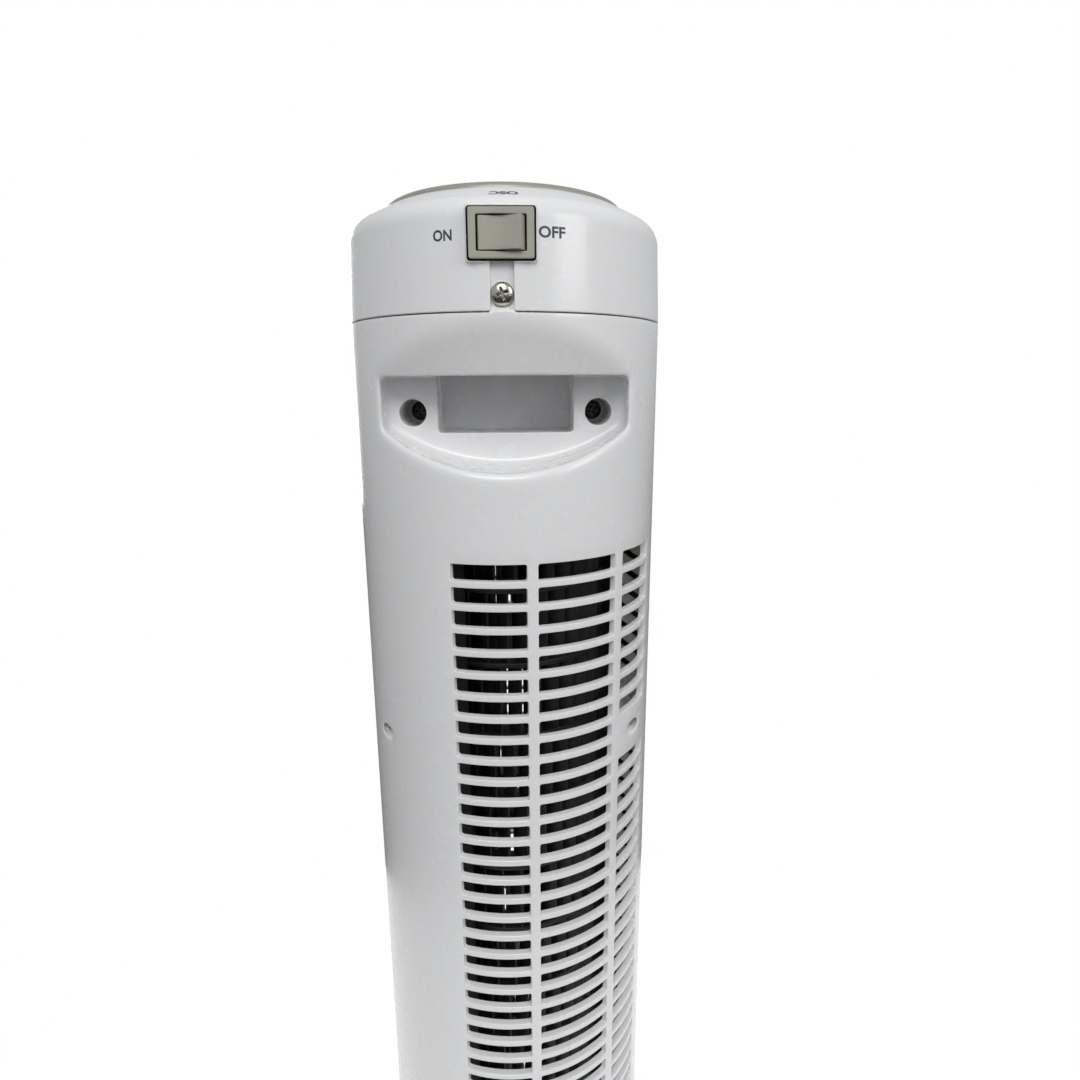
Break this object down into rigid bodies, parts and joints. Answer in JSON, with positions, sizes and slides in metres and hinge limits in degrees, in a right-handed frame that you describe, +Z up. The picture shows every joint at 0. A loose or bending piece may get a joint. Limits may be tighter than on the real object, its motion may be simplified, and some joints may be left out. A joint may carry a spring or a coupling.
{
  "type": "tower fan",
  "caption": "Slim oscillating tower fan: cross-flow impeller in a round tower with rear intake grille, carry recess and top dials, on a round base.",
  "frame": {"origin": "on the floor under the middle of the base", "axes": "+Z up along the tower, -Y the way the air leaves, +Y the rear with the intake grille and carry recess"},
  "size_m": [0.25, 0.2499, 0.7585],
  "materials": {
    "white_abs": "glossy moulded",
    "panel_silver": "satin silver",
    "knob_silver": "satin silver",
    "switch_grey": "satin moulded",
    "impeller_black": "satin moulded",
    "duct_cream": "satin moulded",
    "duct_grey": "satin moulded",
    "control_plastic": "phenolic",
    "timer_plastic": "moulded",
    "screw_steel": "nickel plated",
    "shaft_steel": "ground",
    "core_steel": "laminated",
    "copper_windings": "enamelled wire",
    "motor_aluminium": "die cast",
    "bronze_bush": "sintered",
    "hub_brass": "turned",
    "capacitor_black": "potted box",
    "gear_nylon": "moulded nylon",
    "motor_can_steel": "plated",
    "rubber_black": "matte"
  },
  "bodies": {
    "base": {"base_top": "white_abs", "base_bottom": "white_abs", "base_screws": "screw_steel", "rubber_feet": "rubber_black", "slide_ring": "gear_nylon", "oscillation_motor": "motor_can_steel", "oscillation_motor_screws": "screw_steel", "cord_gland": "rubber_black"},
    "tower": {"rear_housing": "white_abs", "front_housing": "white_abs", "front_grille": "white_abs", "top_cap": "white_abs", "control_panel": "panel_silver", "speed_switch": "control_plastic", "timer_unit": "timer_plastic", "control_screws": "screw_steel", "osc_switch_body": "switch_grey", "cap_screw": "screw_steel", "handle_screws": "screw_steel", "side_screws": "screw_steel", "top_bearing": "bronze_bush", "bearing_mount": "rubber_black", "bearing_bracket": "duct_cream", "air_guide": "duct_cream", "air_tongue": "duct_grey", "guard_comb": "duct_cream", "motor_plate": "duct_cream", "motor_stator": "core_steel", "motor_windings": "copper_windings", "motor_upper_cover": "motor_aluminium", "motor_lower_cover": "motor_aluminium", "motor_bushes": "bronze_bush", "motor_bolts": "screw_steel", "run_capacitor": "capacitor_black", "tower_foot": "white_abs", "foot_screws": "screw_steel", "oscillation_gear": "gear_nylon", "gear_screws": "screw_steel"},
    "rotor": {"impeller": "impeller_black", "impeller_hub": "hub_brass", "hub_set_screw": "shaft_steel", "impeller_top_pin": "shaft_steel", "motor_rotor": "core_steel", "motor_shaft": "shaft_steel"},
    "pinion": {"oscillation_pinion": "gear_nylon", "oscillation_motor_shaft": "shaft_steel"},
    "osc_rocker": {"osc_rocker": "switch_grey"},
    "speed_dial": {"speed_knob": "knob_silver", "speed_shaft": "shaft_steel"},
    "timer_dial": {"timer_knob": "knob_silver", "timer_shaft": "shaft_steel"}
  },
  "joints": [
    {"name": "oscillation", "type": "hinge", "parent": "base", "child": "tower", "pos_m": [0, 0, 0.04], "axis": [0, 0, 1], "range_deg": [-35, 35]},
    {"name": "impeller_spin", "type": "hinge", "parent": "tower", "child": "rotor", "pos_m": [0, 0, 0.3], "axis": [0, 0, 1], "continuous": true},
    {"name": "pinion_spin", "type": "hinge", "parent": "base", "child": "pinion", "pos_m": [0, 0.045, 0.025], "axis": [0, 0, 1], "range_deg": [-145, 145]},
    {"name": "osc_switch", "type": "hinge", "parent": "tower", "child": "osc_rocker", "pos_m": [0, 0.0585, 0.7294], "axis": [0, 0, 1], "range_deg": [0, 20]},
    {"name": "speed_select", "type": "hinge", "parent": "tower", "child": "speed_dial", "pos_m": [-0.02, -0.014, 0.75], "axis": [0, 0, -1], "range_deg": [0, 135]},
    {"name": "timer_set", "type": "hinge", "parent": "tower", "child": "timer_dial", "pos_m": [0.02, -0.014, 0.75], "axis": [0, 0, -1], "range_deg": [0, 300]}
  ],
  "couplings": [
    {"joint": "pinion_spin", "follows": "oscillation", "ratio": -4}
  ]
}
